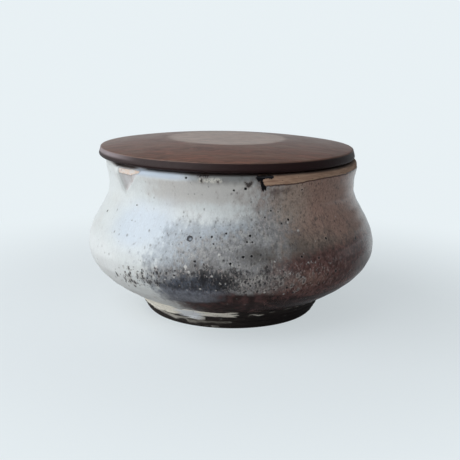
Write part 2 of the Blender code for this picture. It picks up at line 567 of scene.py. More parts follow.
# The front of the lip: a flat three cornered facet, and the bare patch over it that the glaze ran off
facet_left = (120.0, 172.0)
facet_point = (126.5, 192.6)
facet_right = (137.6, 175.0)
facet_middle = (127.5, 180.0)
peel_upper_left = (118.8, 167.9)
peel_lower_left = (121.8, 176.6)
peel_lower_middle = (129.5, 175.2)
peel_lower_right = (136.0, 177.4)
peel_upper_right = (138.3, 173.2)
peel_top_right = (136.5, 170.4)
peel_middle = (128.0, 172.5)
front_ends = 30.0
facet = inside_of(facet_middle, facet_left, facet_point, facet_right)
peel_low = inside_of(peel_middle, peel_upper_left, peel_lower_left, peel_lower_middle)
peel_low_right = inside_of(peel_middle, peel_lower_middle, peel_lower_right, peel_upper_right)
peel_top = inside_of(peel_middle, peel_upper_left, peel_top_right)
peel = np.minimum.reduce([peel_low, peel_low_right, peel_top])
in_front = side < front_ends
peel = np.where(in_front, peel, far_outside)
facet = np.where(in_front, facet, far_outside)

# Where the glaze ends: under the rim on the right, on the face of the lip, and round the foot
band_starts = 11.0
band_ends = 212.0
band_wrap = -56.0
band_depth = 0.0043
band_deeper = 0.0015
band_hidden = 0.008
band_narrows = (20.0, 44.0)
band_waver = 0.00045
band_fray = 0.00012
peel_waver = 0.00010
foot_line_gap = 0.0002
foot_waver = 0.0013
foot_fray = 0.0004
foot_rise = 0.0014
foot_rise_place = (-46.0, 13.0)
foot_fall = 0.0017
foot_fall_place = (-29.5, 3.0)
past = np.where(side < band_wrap, side + 360.0, side)
band = gate(past, band_starts - 2.0, band_starts + 1.0) * (1.0 - gate(past, band_ends - 4.0, band_ends + 4.0))
band_reach = band_depth + band_deeper * (1.0 - gate(past, *band_narrows))
band_reach = band_reach + wave(3, (5, 9, 14, 23), band_waver)
band_edge = band * (band_hidden + band_reach) - band_hidden + wave(5, (41, 67), band_fray)


def hump(value, middle, wide):
    """A smooth hump, 1 high in its middle."""
    return np.exp(-(((value - middle) / wide) ** 2))


rim_bare = np.maximum(band_edge - np.abs(along), peel * 0.001 + wave(13, (97, 131), peel_waver))
foot_line = row_along[foot_starts] + foot_line_gap
foot_line = foot_line + wave(7, (4, 7, 12, 19, 31), foot_waver) + wave(11, (53, 88, 121), foot_fray)
foot_line = foot_line - foot_rise * hump(side, *foot_rise_place) + foot_fall * hump(side, *foot_fall_place)
bare = np.where(on_outside, np.maximum(rim_bare, along - foot_line), band_edge - np.abs(along))

rough = np.zeros((len(rows), pot_columns))
swell = np.zeros((len(rows), pot_columns))
for i in range(len(rows)):
    for j in range(pot_columns):
        here = Vector((row_radius[i] * cos(turn[j]), row_radius[i] * sin(turn[j]), row_height[i]))
        swell[i, j] = noise.noise(here * swell_scale)
        rough[i, j] = noise.fractal(here * rough_scale, 1.0, 2.0, 2)

foot_starts_along, ledge_along, ring_along = row_along[[foot_starts, ledge_row, ring_row]]
outer_rings_end = (foot_starts_along - outer_rings_fade, foot_starts_along)
outer = strip(along, *outer_rings_start, *outer_rings_end) * on_outside
inner = strip(-along, *inner_rings_zone) * (1 - on_outside)
spiral = np.sin(2 * pi * along / ring_pitch + azimuth)
push = (outer * outer_rings + inner * inner_rings) * spiral
push = push + (outer + inner) * lean_of_wall * swell
push = push - glaze_thickness * gate(bare, *glaze_edge_fade)
push = push - facet_hollow * gate(facet, *facet_hollow_fade) * (depth > facet_starts)
push = push + facet_ridge * hump(facet, *facet_ridge_place) * strip(depth, *facet_ridge_zone)
trimmed_zone = strip(along, foot_starts_along, ledge_along, ring_along - 0.001, ring_along)
push = push + trimmed_zone * tool_chatter * (rough + np.sin(2 * pi * along / chatter_pitch + 3.0 * swell))

crater_left = (175.0, 274.0)
crater_middle = (222.0, 274.0)
crater_right = (262.0, 276.0)
crater_wide = 0.016
cratered = highest(
    patch(crater_left, crater_wide, 0.0065),
    patch(crater_middle, crater_wide, 0.0085),
    patch(crater_right, crater_wide, 0.0060),
)
push = push + cratered * crater_relief * rough

round_off = out_of_round * np.cos(2 * azimuth + out_of_round_turn) * gate(height, *out_of_round_zone)
new_radius = np.maximum(radius + push * row_out[:, :1] + pulled(azimuth, height) + round_off, 0.0)
new_height = np.clip(height + push * row_out[:, 1:], 0.0, pot_height)
new_height[row_height <= 0.00001] = 0.0


def turn_mesh(name, columns, radii, heights):
    """A mesh from rows of points that run from the axis, over the outside, back to the axis."""
    ring_points = np.stack([radii * np.cos(columns), radii * np.sin(columns), heights], axis=2)[1:-1]
    ring_points = ring_points.reshape(-1, 3)
    first, last = [0.0, 0.0, heights[0].mean()], [0.0, 0.0, heights[-1].mean()]
    points = np.vstack([ring_points, [first, last]])
    wide = len(columns)
    around = np.arange(wide)
    after = (around + 1) % wide
    quads = []
    for here in range(0, len(ring_points) - wide, wide):
        below = here + wide
        quads.append(np.stack([here + around, below + around, below + after, here + after], axis=1))
    start, finish = len(ring_points), len(ring_points) + 1
    bottom = start - wide
    fans = [
        np.stack([np.full(wide, start), around, after], axis=1),
        np.stack([bottom + around, np.full(wide, finish), bottom + after], axis=1),
    ]
    mesh = bpy.data.meshes.new(name)
    mesh.from_pydata(points.tolist(), [], np.vstack(quads).tolist() + np.vstack(fans).tolist())
    mesh.shade_smooth()
    piece = bpy.data.objects.new(name, mesh)
    bpy.context.scene.collection.objects.link(piece)
    return piece


def mark(piece, name, field):
    """Keeps a value at every point of a turned mesh, for the material to read."""
    values = np.concatenate([field[1:-1].ravel(), [field[0].mean(), field[-1].mean()]])
    piece.data.attributes.new(name, "FLOAT", "POINT").data.foreach_set("value", values.astype(np.float32))


def mark_pot(name, field):
    """Keeps a value at every point of the pot, also one that is the same all the way round."""
    mark(pot, name, np.broadcast_to(field, (len(rows), pot_columns)))


pot = turn_mesh("stoneware_pot", turn, new_radius, new_height)
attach(pot, "pot")
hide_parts("pot_body")

# The wall unrolled onto a tube, so that what ran down it can be drawn out along it
flow_radius = 0.058
round_x = flow_radius * np.cos(azimuth) * np.ones_like(height)
round_y = flow_radius * np.sin(azimuth) * np.ones_like(height)
flow_points = np.stack([round_x, round_y, along * np.ones_like(azimuth)], axis=2)
flow_ends = [[0.0, 0.0, row_along[0]], [0.0, 0.0, row_along[-1]]]
flow_points = np.vstack([flow_points[1:-1].reshape(-1, 3), flow_ends]).astype(np.float32)
pot.data.attributes.new("flow", "FLOAT_VECTOR", "POINT").data.foreach_set("vector", flow_points.ravel())


# The glaze and the bare clay
# A thick ash glaze, fused to the clay: creamy and blue white where the ash lay thick, grey to taupe where it
# ran thin, cratered and slate dark low on the belly. It stops short of foot and rim, over bare clay. Light is
# painted into it
# too: a painted window highlight on the blue white at the left, painted shade in the darker tones towards the
# right and underneath, and painted shadow of the lid along the rim.
ash = (0.685, 0.725, 0.725)
ash_warm = (0.635, 0.640, 0.620)
neck_warm = (0.560, 0.553, 0.532)
frost = (0.605, 0.675, 0.740)
painted_rim_highlight = (0.56, 0.65, 0.75)
painted_light_white = (0.76, 0.79, 0.795)
blue_grey = (0.375, 0.440, 0.510)
grey_deep = (0.215, 0.212, 0.215)
grey_pale = (0.375, 0.37, 0.36)
trickle_grey = (0.42, 0.43, 0.43)
taupe_deep = (0.130, 0.098, 0.082)
taupe_pale = (0.290, 0.228, 0.182)
brown_rose = (0.40, 0.255, 0.205)
straw_veil = (0.42, 0.40, 0.335)
dusk_deep = (0.075, 0.034, 0.031)
dusk_pale = (0.185, 0.092, 0.083)
soot_black = (0.085, 0.085, 0.085)
murk_brown = (0.078, 0.070, 0.062)
crater_dark = (0.040, 0.038, 0.042)
crater_grey = (0.14, 0.135, 0.135)
crater_pale = (0.33, 0.315, 0.30)
crust_pale = (0.44, 0.42, 0.395)
charred = (0.010, 0.010, 0.011)
slate_deep = (0.032, 0.038, 0.052)
slate_pale = (0.088, 0.106, 0.140)
mauve_deep = (0.100, 0.108, 0.132)
mauve_pale = (0.190, 0.206, 0.242)
burnt_deep = (0.030, 0.016, 0.014)
burnt_red = (0.115, 0.058, 0.054)
black_glaze = (0.006, 0.006, 0.007)
black_fringe = (0.13, 0.09, 0.08)
iron_black = (0.028, 0.020, 0.018)
iron_fringe = (0.16, 0.12, 0.105)
smudge_brown = (0.11, 0.075, 0.065)
speck_brown = (0.05, 0.045, 0.042)
faint_brown = (0.09, 0.085, 0.082)
pit_blue = (0.020, 0.024, 0.032)
bristle_white = (0.56, 0.49, 0.46)
crumb_white = (0.68, 0.67, 0.65)
bead_cream = (0.74, 0.73, 0.66)
facet_grey_and_shade = (0.60, 0.595, 0.60)
facet_stain = (0.42, 0.375, 0.365)
facet_edge = (0.22, 0.17, 0.155)
rim_shade_grey = (0.100, 0.100, 0.100)
# Dark brown of the glaze thinning at the rim, also used for painted shadow of the lid
rim_brown_and_shade = (0.045, 0.035, 0.032)
edge_line = (0.045, 0.018, 0.013)
inside_pale = (0.52, 0.52, 0.49)
inside_grey = (0.36, 0.37, 0.37)
clay_cream = (0.94, 0.92, 0.825)
clay_cold = (0.78, 0.82, 0.86)
lit_clay_shelf = (0.62, 0.60, 0.55)
lit_clay_streak = (0.33, 0.315, 0.275)
clay_tan = (0.47, 0.31, 0.215)
clay_tan_deep = (0.33, 0.20, 0.135)
clay_olive = (0.20, 0.18, 0.145)
# Near black: painted shade over most of the foot
clay_in_painted_shade = (0.026, 0.020, 0.018)
iron = (0.045, 0.022, 0.014)
peach = (0.82, 0.70, 0.61)
peach_pale = (0.80, 0.76, 0.74)
peach_hem = (0.72, 0.52, 0.39)

# Where each tone of the glaze lies. Places round the wall are in degrees from the lip, and places down it in
# millimetres from the rim.
belly_round = 58.0
lip_side = 55.0
seam = 60.0
cluster_middle = (222.0, 283.0)
cluster_left = (203.5, 278.0)
cluster_right = (264.5, 268.5)
cluster_far = (234.0, 273.0)
smudge_place = (276.0, 192.5)
smudge_side = (290.0, 189.0)
cold_place = (188.0, 313.5)
pale_place = (230.0, 211.0)
grey_place = (179.0, 229.0)
murk_left = (178.0, 274.0)
murk_middle = (194.0, 270.0)
murk_above = (258.0, 256.0)
murk_right = (287.0, 267.0)
murk_high = (298.0, 247.0)
blush_place = (341.0, 228.0)
veil_place = (292.0, 202.0)
from_lip = (side + lip_side + seam) % 360.0 - seam


def spot(turned, down, across, tall):
    """A soft round spot on the outside, with half its strength left that far from its middle."""
    away = np.radians((from_lip - turned + 180.0) % 360.0 - 180.0) * belly_round
    return np.exp(-halving * ((away / across) ** 2 + ((depth - down) / tall) ** 2))


def turned_to(start, full, ends, gone):
    """The stretch of the wall between two turns from the lip."""
    return strip(from_lip, start, full, ends, gone)


def falling(value, start, end):
    """Falls smoothly from 1 at start to 0 at end."""
    return 1.0 - gate(value, start, end)


low_depth = depth + wave(17, (7, 11, 18, 29), 1.1)
neck_depth = depth + wave(29, (5, 9, 14, 23), 1.5)
greying = from_lip + 1.2 * np.minimum(depth - 29.0, 5.0)
pitted_depth = low_depth - 3.0 * falling(from_lip, 10.0, 27.0)
burnt_depth = low_depth - 6.0 * gate(from_lip, 66.0, 92.0)
dusk_depth = low_depth + 0.10 * (from_lip - 90.0)
ledge_line = along - 0.0017 * turned_to(-58.0, -30.0, 14.0, 34.0)
not_pale = 1.0 - 0.5 * patch(pale_place, 0.0105, 0.0065)
rim_sides = np.maximum(turned_to(-14.0, -8.0, 8.0, 13.0), turned_to(30.0, 46.0, 88.0, 98.0))
fields = {
    "warm": strip(neck_depth, 3.0, 5.5, 10.0, 17.0) * turned_to(5.0, 32.0, 58.0, 72.0),
    # frost: blue white glaze, and on the left also a painted window highlight
    "frost": spot(17, 24.5, 17, 9.8) + 0.6 * spot(250, 26, 22, 12),
    # Painted light on the lower left of the belly, against the shade of its downward face
    "painted_low_light": strip(depth, 27.0, 42.0, 54.0, 58.0) * turned_to(-58.0, -30.0, -4.0, 24.0),
    # grey, taupe, rose and dusk: the glaze's own tones, towards the right partly painted shade as well
    "grey": gate(greying, 14.0, 62.0) * falling(from_lip, 165.0, 225.0) * not_pale
    + 0.24 * patch(grey_place, 0.0080, 0.0075)
    + 0.45 * spot(262, 34, 16, 10),
    "taupe": gate(from_lip + 0.3 * (depth - 18.0), 62.0, 96.0) * falling(from_lip, 150.0, 205.0)
    + 0.5 * spot(232, 12, 20, 8),
    "rose": spot(100, 9, 27, 8.5)
    + 0.9 * spot(122, 20, 10, 10)
    + 0.45 * spot(93, 23, 17, 8)
    + 0.5 * spot(82, 43.5, 12, 4)
    + 0.40 * patch(blush_place, 0.0048, 0.0066),
    "veil": patch(veil_place, 0.0080, 0.0085),
    "dusk": strip(dusk_depth, 27.0, 38.0, 62.0, 68.0) * turned_to(56.0, 82.0, 150.0, 200.0),
    "craters": strip(low_depth, 34.5, 41.0, 44.5, 50.0) * turned_to(11.0, 34.0, 62.0, 92.0)
    + 0.6 * strip(depth, 36.0, 42.0, 45.0, 51.0) * turned_to(96.0, 120.0, 250.0, 285.0),
    "cluster": highest(
        patch(cluster_middle, 0.0056, 0.0042),
        patch(cluster_left, 0.0024, 0.0046),
        0.55 * patch(cluster_right, 0.0018, 0.0030),
        0.65 * patch(cluster_far, 0.0026, 0.0024),
    ),
    "pitted": strip(pitted_depth, 38.0, 41.5, 45.0, 50.0) * turned_to(3.0, 14.0, 62.0, 92.0),
    "murk": highest(
        0.50 * patch(murk_left, 0.0095, 0.0058),
        0.52 * patch(murk_middle, 0.0088, 0.0044),
        0.70 * patch(murk_above, 0.0080, 0.0044),
        0.20 * patch(murk_right, 0.0085, 0.0048),
        0.46 * patch(murk_high, 0.0074, 0.0058),
    ),
    "slate": 0.95 * spot(37, 46.2, 11, 4.0) + 0.8 * spot(47, 44.0, 7, 4.6) + 0.8 * spot(205, 47, 20, 4),
    "mauve": strip(low_depth, 44.5, 50.5, 55.0, 60.0) * turned_to(17.0, 35.0, 48.0, 66.0),
    "cool": strip(depth, 17.0, 23.0, 50.0, 56.0) * turned_to(4.0, 16.0, 58.0, 74.0),
    # burnt: brown towards the foot, partly painted shade under the belly
    "burnt": strip(burnt_depth, 46.0, 51.0, 90.0, 95.0) * turned_to(40.0, 60.0, 200.0, 290.0)
    + 0.8 * strip(low_depth, 53.0, 58.0, 90.0, 95.0) * turned_to(24.0, 40.0, 262.0, 296.0),
    "bristly": strip(depth, 34.0, 39.0, 46.0, 50.0) * turned_to(18.0, 40.0, 88.0, 112.0),
    "smudge": patch(smudge_place, 0.0034, 0.0015) + 0.5 * patch(smudge_side, 0.003, 0.0012),
    # A painted highlight of the window on the rolled rim just under the lid
    "painted_rim_highlight": strip(depth, 0.6, 1.4, 3.2, 5.2) * turned_to(7.0, 13.0, 28.0, 46.0),
    # Painted shade under the lid, fading down the neck
    "rim_shade": falling(depth, 0.8, 9.0) * turned_to(29.0, 44.0, 78.0, 88.0),
    # The rim's crest: partly glaze thinning to brown, partly painted shade of the lid above it
    "rim_line_and_shade": falling(np.abs(along + 0.0002), 0.0009, 0.0020) * (1.0 - 0.55 * gate(facet, -1.0, 0.5)),
    # A painted shadow of the lid along the rim, beside the lip and on the right
    "painted_lid_shadow": falling(depth, 1.4, 2.6) * rim_sides,
    # A painted shadow of the lid along the rim, from the lip round to the right
    "painted_lid_shade_ring": falling(depth, 1.1, 2.6) * turned_to(13.0, 18.0, 112.0, 150.0),
    "lip_left": falling(from_lip, -1.0, 4.0),
    "pale_clay": np.maximum(falling(np.abs(from_lip - 2.0), 50.0, 61.0), 0.7 * spot(230, 62, 30, 30)),
    "cold_clay": patch(cold_place, 0.0056, 0.0030),
    "foot_left": gate(depth, 50.0, 56.0) * turned_to(-58.0, -40.0, 15.0, 24.0),
    "foot_wall": gate(ledge_line, ledge_along - 0.0002, ledge_along + 0.0006),
}
for name, field in fields.items():
    mark_pot(name, np.clip(field, 0.0, 1.0) * on_outside)
mark_pot("within", gate(-along, 0.001, 0.006) * (1 - on_outside))
mark_pot("bare", bare * 1000.0)

straight_wall = np.interp(row_along, [ledge_along, ring_along], [0.0, 1.0])
chord = ledge[None, :] + straight_wall[:, None] * (ring - ledge)[None, :]
hollow = np.clip((rows - chord) @ inwards / groove_depth, 0.0, 1.0)[:, None]
mark_pot("hollow", hollow * fields["foot_wall"] * (along < ring_along))


def stroke(start, end, thick):
    """How far inside a rounded stroke from one place in the picture to another a point is, in millimetres."""
    first, last = unrolled(start), unrolled(end)
    run = last - first
    across, down = round_mm - first[0], depth - first[1]
    share = np.clip((across * run[0] + down * run[1]) / max(run @ run, 0.0001), 0.0, 1.0)
    return thick - np.hypot(across - share * run[0], down - share * run[1])


# Iron rich glaze that gathered under the rim and ran, the pale beads beside it, a painted shadow line under the
# lid's edge, and lit strips of the pale clay that the tool left on the ledge and the foot ring, painted light
# on a foot that is otherwise painted in shade
pool_left = (259.6, 178.4)
pool_middle = (264.0, 176.5)
pool_right = (271.5, 176.6)
run_top = (261.5, 179.0)
run_bend = (262.6, 184.5)
run_foot = (264.4, 189.0)
lid_shadow_line_left = (197.6, 175.8)
lid_shadow_line_right = (207.0, 176.3)
beads_left = (200.0, 180.2)
beads_right = (219.5, 180.9)
shelf_start = (154.0, 306.8)
shelf_left = (175.0, 316.2)
shelf_right = (204.0, 318.8)
bead_left = (187.0, 320.4)
bead_middle = (199.0, 321.6)
bead_right = (230.0, 322.6)
ring_left = (212.0, 327.0)
ring_right = (218.5, 327.4)
strokes = {
    "black": highest(
        stroke(pool_left, pool_middle, 1.05),
        stroke(pool_middle, pool_right, 1.00),
        stroke(run_top, run_bend, 0.55),
        stroke(run_bend, run_foot, 0.80),
        # A painted shadow line under the lid's edge
        stroke(lid_shadow_line_left, lid_shadow_line_right, 0.24),
    ),
    "beads": stroke(beads_left, beads_right, 1.1),
    "shelf": highest(
        stroke(shelf_start, shelf_left, 0.95),
        stroke(shelf_left, shelf_right, 0.65),
        stroke(ring_left, ring_right, 0.34),
    ),
    "streak": highest(stroke(bead_left, bead_middle, 0.55), stroke(bead_middle, bead_right, 0.36)),
    "facet": facet,
    "peel": peel,
}
for name, within_mm in strokes.items():
    mark_pot(name, np.where(on_outside, np.maximum(within_mm, far_outside), far_outside))

# Pinholes that stand alone, where gas came out of the glaze: the place in the picture and the radius
# in millimetres
ringed_pit = (189.7, 238.6)
# The lit side of the wide pit, which is painted
ringed_pit_lit_side = (190.3, 239.1)
pinholes = {
    "left of centre": (200.7, 237.4, 0.26),
    "centre": (211.8, 236.9, 0.42),
    "centre high": (226.2, 233.5, 0.38),
    "centre low": (194.8, 261.5, 0.44),
    "pair above": (250.2, 235.8, 0.50),
    "pair left": (247.1, 242.1, 0.34),
    "pair right": (252.3, 242.1, 0.34),
    "right high": (288.3, 219.5, 0.46),
    "right low": (281.8, 223.3, 0.40),
    "mid high": (265.0, 217.4, 0.32),
    "far right": (326.1, 238.2, 0.46),
    "right edge": (355.6, 238.2, 0.58),
    "low right": (336.0, 271.0, 0.42),
    "low": (274.2, 290.0, 0.36),
    "lower": (287.0, 288.0, 0.44),
    "shoulder left": (107.8, 211.0, 0.50),
    "lip foot": (137.1, 205.1, 0.32),
    "left": (132.2, 220.4, 0.24),
    "below blotch": (245.6, 188.9, 0.56),
    "neck": (234.0, 190.6, 0.42),
    "neck right": (302.0, 189.8, 0.34),
    "band left": (280.0, 180.6, 0.32),
    "band right": (305.3, 180.0, 0.36),
    "neck left": (186.0, 177.9, 0.40),
    "shoulder high": (271.0, 210.7, 0.36),
    "shoulder higher": (278.4, 211.7, 0.30),
    "low centre": (243.2, 257.2, 0.52),
    "low centre right": (251.9, 256.3, 0.46),
    "low by the slate": (230.3, 263.8, 0.46),
    "far low": (319.3, 258.0, 0.42),
    "right mid": (302.0, 256.7, 0.40),
    "below centre": (213.5, 244.0, 0.30),
}

# Fainter pits that the glaze has nearly closed over, and pale crumbs of ash that never melted in
faint_pits = {
    "left of the lip foot": (135.4, 221.5, 0.30),
    "left": (127.3, 235.2, 0.62),
    "far left": (109.0, 253.9, 0.46),
    "farther left": (104.9, 252.6, 0.36),
    "low left": (97.4, 258.8, 0.40),
    "above the crater band": (161.3, 259.7, 0.60),
    "tall": (183.3, 252.2, 0.62),
    "shoulder": (190.3, 221.5, 0.60),
    "shoulder left": (177.0, 224.8, 0.48),
    "belly left": (168.3, 235.2, 0.48),
    "belly low left": (150.5, 245.2, 0.56),
    "right": (275.5, 246.8, 0.95),
    "right high": (316.2, 218.2, 0.80),
    "by the pair": (246.2, 241.0, 0.95),
    "neck": (231.3, 194.0, 0.46),
}
iron_spots = {
    "blotch left end": (245.2, 182.8, 0.34),
    "blotch left": (246.8, 184.0, 0.46),
    "blotch foot": (248.7, 185.6, 0.82),
    "blotch right": (250.2, 184.2, 0.66),
    "blotch right end": (251.4, 182.9, 0.46),
    "hook head": (201.7, 179.5, 0.26),
    "hook": (201.2, 180.9, 0.42),
    "hook foot": (201.8, 182.2, 0.30),
    "speck": (217.8, 182.0, 0.38),
}
crumbs = {
    "above the slate": (185.4, 267.0, 0.72),
    "left of it": (188.6, 272.2, 0.56),
    "left": (156.2, 266.8, 0.50),
    "low left": (159.1, 272.7, 0.34),
    "middle left": (173.9, 277.3, 0.40),
    "slate edge": (165.0, 279.4, 0.32),
    "in the slate": (200.2, 289.2, 0.52),
    "cluster": (211.8, 276.6, 0.44),
    "in the cluster": (220.5, 284.3, 0.36),
    "high": (219.1, 254.6, 0.56),
    "centre": (232.1, 265.4, 0.46),
    "low right": (264.7, 292.7, 0.52),
    "lower right": (283.7, 294.1, 0.40),
    "right": (303.3, 277.3, 0.38),
    "right high": (308.6, 262.5, 0.34),
    "middle right": (274.9, 261.8, 0.40),
    "shoulder right": (298.3, 230.6, 0.52),
    "under a pinhole": (288.0, 222.2, 0.40),
}


def new_group(name, takes, gives):
    """An empty node group with its named sockets, and the values that it takes."""
    group = bpy.data.node_groups.new(name, "ShaderNodeTree")
    for in_out, sockets in (("INPUT", takes), ("OUTPUT", gives)):
        for label, kind in sockets.items():
            group.interface.new_socket(name=label, in_out=in_out, socket_type="NodeSocket" + kind)
    entry = group.nodes.new("NodeGroupInput")
    return group, [Value(entry, label) for label in takes]


def stretch(place, shares, turned=(0.0, 0.0, 0.0)):
    """Coordinates turned about the axes and then scaled along them."""
    straight = Value(put("ShaderNodeMapping", {"Vector": place, "Rotation": turned}))
    return Value(put("ShaderNodeMapping", {"Vector": straight, "Scale": shares}))


def nearest_of(name, spots):
    """A node group that gives the distance from the edge of the nearest of some round spots."""
    group, (here,) = new_group(name, {"Place": "Vector"}, {"Gap": "Float"})
    nearest = None
    for across, down, radius_mm in spots.values():
        gap = measure("DISTANCE", here, tuple(on_pot((across, down))[2])) - radius_mm * 0.001
        nearest = gap if nearest is None else calc("MINIMUM", nearest, gap)
    put("NodeGroupOutput", {"Gap": nearest})
    return group


# Ragged: turns a soft field into a mask whose edge follows the clouds
ragged_takes = {"Field": "Float", "Cloud": "Float", "Raggedness": "Float"}
ragged, (soft, clouds, raggedness) = new_group("ragged_edge", ragged_takes, {"Mask": "Float"})
put("NodeGroupOutput", {"Mask": fade(soft + (clouds - 0.5) * raggedness, 0.12, 0.88)})

# Specks: round spots strewn at random, with the ring about each
speck_takes = {"Place": "Vector", "Scale": "Float", "Share": "Float", "Size": "Float", "Unevenness": "Float"}
specks, (here, crowding, kept_share, size, unevenness) = new_group(
    "specks", speck_takes, {"Speck": "Float", "Ring": "Float"}
)
cells = put("ShaderNodeTexVoronoi", {"Vector": here, "Scale": crowding})
chances = put("ShaderNodeSeparateColor", {0: Value(cells, "Color")})
there = calc("LESS_THAN", Value(chances, 0), kept_share)
reach = size * (Value(chances, 1) * 0.8 + 0.6)
gap = Value(cells, "Distance") + unevenness
speck = fade(gap, reach, reach * 0.25) * there
put("NodeGroupOutput", {"Speck": speck, "Ring": fade(gap, reach * 1.9, reach) * there - speck})

stoneware, tree = new_material("ash_glazed_stoneware")
pot.data.materials.append(stoneware)
place = Value(put("ShaderNodeTexCoord", {}, tree), "Object")
flow = Value(put("ShaderNodeAttribute", {}, tree, attribute_name="flow"), "Vector")


def stored(name):
    """A field that the mesh keeps at its points."""
    return Value(put("ShaderNodeAttribute", {}, tree, attribute_name=name), "Fac")


def ragged_mask(name, cloud, raggedness, share=1.0):
    """A stored field with its edge broken up by clouds."""
    settings = {"Field": stored(name), "Cloud": cloud, "Raggedness": raggedness}
    return Value(put("ShaderNodeGroup", settings, node_tree=ragged), "Mask") * share


def ran_down(length_share, scale, detail, roughness):
    """Noise drawn out down the wall."""
    return noise_at(stretch(flow, (1.0, 1.0, length_share)), scale, detail, roughness)


def drawn_round(width_share, scale, detail, roughness):
    """Noise drawn out round the wall, as a turning tool leaves it."""
    return noise_at(stretch(flow, (width_share, width_share, 1.0)), scale, detail, roughness)


def gap_to_spots(group):
    """How far the edge of the nearest spot of a group is, in metres."""
    return Value(put("ShaderNodeGroup", {"Place": place}, node_tree=group), "Gap")


def strewn(scale, share, size):
    """Specks strewn over the glaze, and the ring about each."""
    settings = {"Place": drawn, "Scale": scale, "Share": share, "Size": size, "Unevenness": jitter}
    node = put("ShaderNodeGroup", settings, node_tree=specks)
    return Value(node, "Speck"), Value(node, "Ring")


def wobble(cloud, amount):
    """An unevenness about zero, taken from clouds."""
    return (cloud - 0.5) * amount


def larger(first, second):
    """The larger of two values."""
    return calc("MAXIMUM", first, second)


def end_material(surface, height_mm, gloss):
    """Ends a material: its colours, what stands out of it in millimetres, and how rough it is."""
    relief = Value(put("ShaderNodeBump", {"Height": height_mm, "Distance": 0.001, "Strength": 1.0}))
    settings = {"Base Color": surface, "Roughness": gloss, "Normal": relief}
    put("ShaderNodeOutputMaterial", {"Surface": Value(put("ShaderNodeBsdfPrincipled", settings))})


cloud = noise_at(place, 95.0, 3.0)
grit = noise_at(place, 2400.0, 2.0, 0.6)
puffs = ran_down(0.70, 330.0, 3.0, 0.60)
mottle = ran_down(0.78, 700.0, 4.0, 0.60)
blots = ran_down(0.66, 900.0, 3.0, 0.68)
bristles = ran_down(0.55, 1350.0, 2.0, 0.55)
frizz = ran_down(0.75, 1500.0, 3.0, 0.70)
sprinkle = ran_down(0.70, 1900.0, 1.0, 0.50)
trickles = ran_down(0.30, 620.0, 3.0, 0.60)
soots = ran_down(0.68, 430.0, 3.0, 0.60)
turnings = drawn_round(0.10, 1500.0, 3.0, 0.60)
stains = drawn_round(0.22, 520.0, 3.0, 0.60)
broken = (puffs + mottle) * 0.5
drawn = stretch(flow, (1.0, 1.0, 0.68))
jitter = wobble(grit, 0.55)

grey_mask = ragged_mask("grey", broken, 1.5, 0.97)
taupe_mask = ragged_mask("taupe", broken, 1.4, 0.92)
crater_mask = ragged_mask("craters", puffs, 0.7)
slate_mask = ragged_mask("slate", broken, 1.2, 0.95)
thin_mask = larger(grey_mask, taupe_mask)
bristly = stored("bristly")
cluster = stored("cluster")
peel_in = stored("peel")
within = stored("within")

# The melted ash, from white to grey, taupe and rose. Towards the right the grey, taupe, rose and dusk are
# partly the glaze's own tones and partly painted shade, with a painted warm cast of reflected light
colour = tint(fade(cloud, 0.40, 0.66) * 0.45, ash, ash_warm)
colour = tint(ragged_mask("warm", puffs, 0.9, 0.9), colour, neck_warm)
# Blue white glaze, which on the left also carries a painted window highlight
colour = tint(ragged_mask("frost", cloud, 0.6), colour, frost)
# Painted light on the lower left of the belly
colour = tint(ragged_mask("painted_low_light", cloud, 0.5, 0.7), colour, painted_light_white)
colour = tint(grey_mask, colour, tint(fade(mottle, 0.34, 0.66), grey_deep, grey_pale))
half_way = grey_mask * (1.0 - grey_mask) * 2.4
colour = tint(calc("MULTIPLY", half_way, stored("cool"), clamp=True), colour, blue_grey)
colour = tint(taupe_mask, colour, tint(fade(broken, 0.38, 0.62), taupe_deep, taupe_pale))
dusks = tint(fade(mottle, 0.36, 0.68), dusk_deep, dusk_pale)
colour = tint(ragged_mask("dusk", broken, 1.5, 0.92), colour, dusks)
colour = tint(ragged_mask("rose", broken, 1.0, 0.85), colour, brown_rose)
colour = tint(ragged_mask("veil", broken, 1.0, 0.34), colour, straw_veil)
colour = tint(fade(soots, 0.50, 0.66) * grey_mask * 0.30, colour, soot_black)

# Fine light and dark in the melt: faint in the white, strong where the glaze is thin
melt = (frizz - 0.5) * (thin_mask * 1.10 + 0.28) + 1.0
colour = tint(1.0, colour, melt, kind="MULTIPLY")

# The crater band: dark blots between paler crusts
colour = tint(ragged_mask("murk", broken, 1.3, 0.88), colour, murk_brown)
crater_ground = tint(fade(puffs, 0.40, 0.62), crater_pale, crater_grey)
colour = tint(crater_mask * 0.48, colour, crater_ground)
blot_level = crater_mask * 0.095 + cluster * 0.24
blot_mask = fade(blots + blot_level, 0.60, 0.74) * (fade(crater_mask, 0.02, 0.45) * 0.68)
pit_share = cluster * 0.75 + stored("pitted") * 0.52
large_pits, large_rings = strewn(640.0, pit_share * 1.15, 0.48)
small_pits, _ = strewn(1050.0, pit_share * 1.1, 0.46)
pit_mask = larger(large_pits, small_pits)
blot_mask = larger(blot_mask, pit_mask)
blot_tone = tint(cluster, crater_dark, charred)
colour = tint(large_rings * 0.55, colour, crust_pale)
colour = tint(blot_mask * 0.88, colour, blot_tone)

